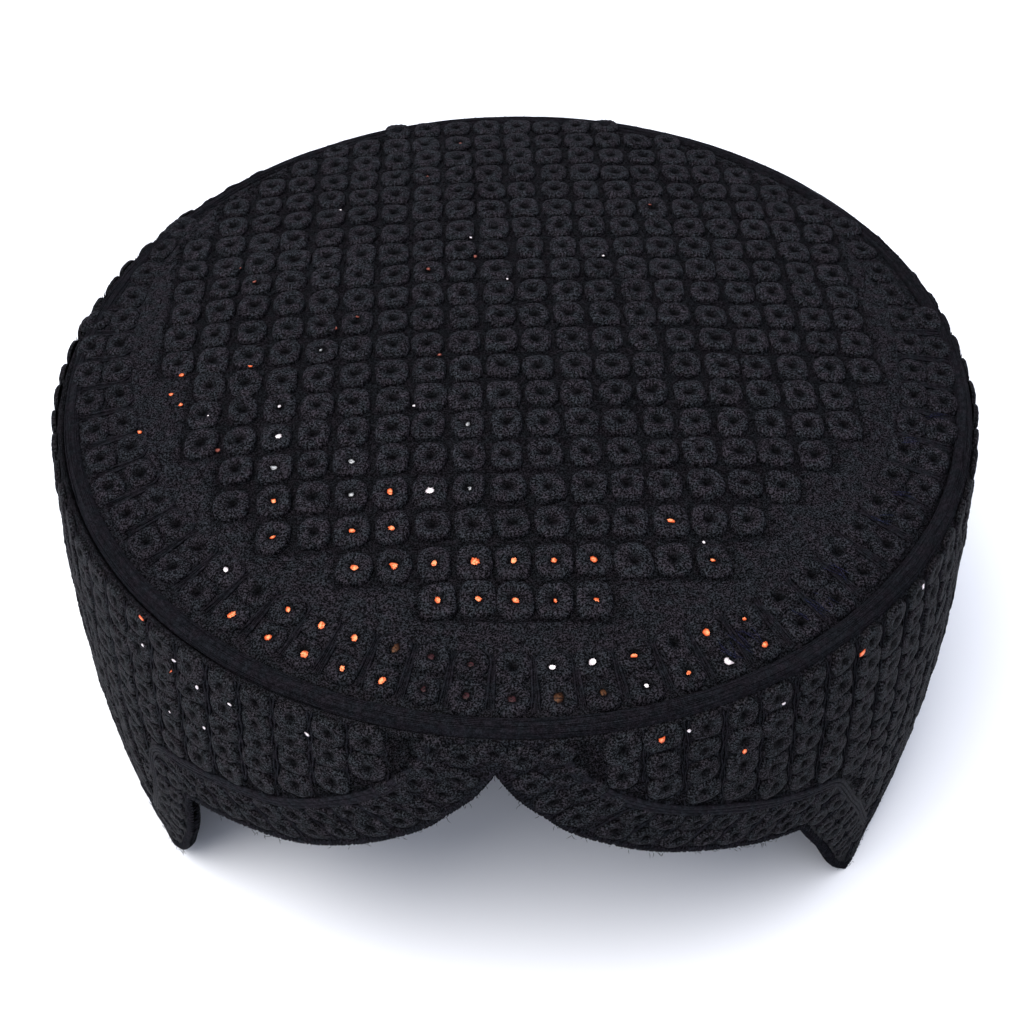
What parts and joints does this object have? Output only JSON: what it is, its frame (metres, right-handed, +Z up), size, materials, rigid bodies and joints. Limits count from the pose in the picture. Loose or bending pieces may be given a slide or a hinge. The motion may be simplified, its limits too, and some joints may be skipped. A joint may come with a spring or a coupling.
{
  "type": "sindhi cap",
  "caption": "Round, nearly flat-topped embroidered cloth cap with a corded crown seam, upright side wall and a cusped arch cut out over the forehead.",
  "frame": {"origin": "bottom centre of the cap's box, on the surface that its rim rests on", "axes": "+Z up out of the crown, -Y towards the front arch, +X to the right seen from the front"},
  "size_m": [0.1944, 0.2046, 0.092],
  "materials": {
    "embroidered_cotton": "black cotton thread worked in raised eyelets",
    "trim_cord": "black cord and satin stitch, slightly sheeny",
    "mirror_foil": "small copper and silver mirror chips behind some eyelets, placed by the scene"
  },
  "bodies": {
    "root": {"crown": "embroidered_cotton", "crown_piping": "trim_cord", "side_wall": "embroidered_cotton", "border_cord": "trim_cord", "edge_binding": "trim_cord"}
  },
  "joints": []
}
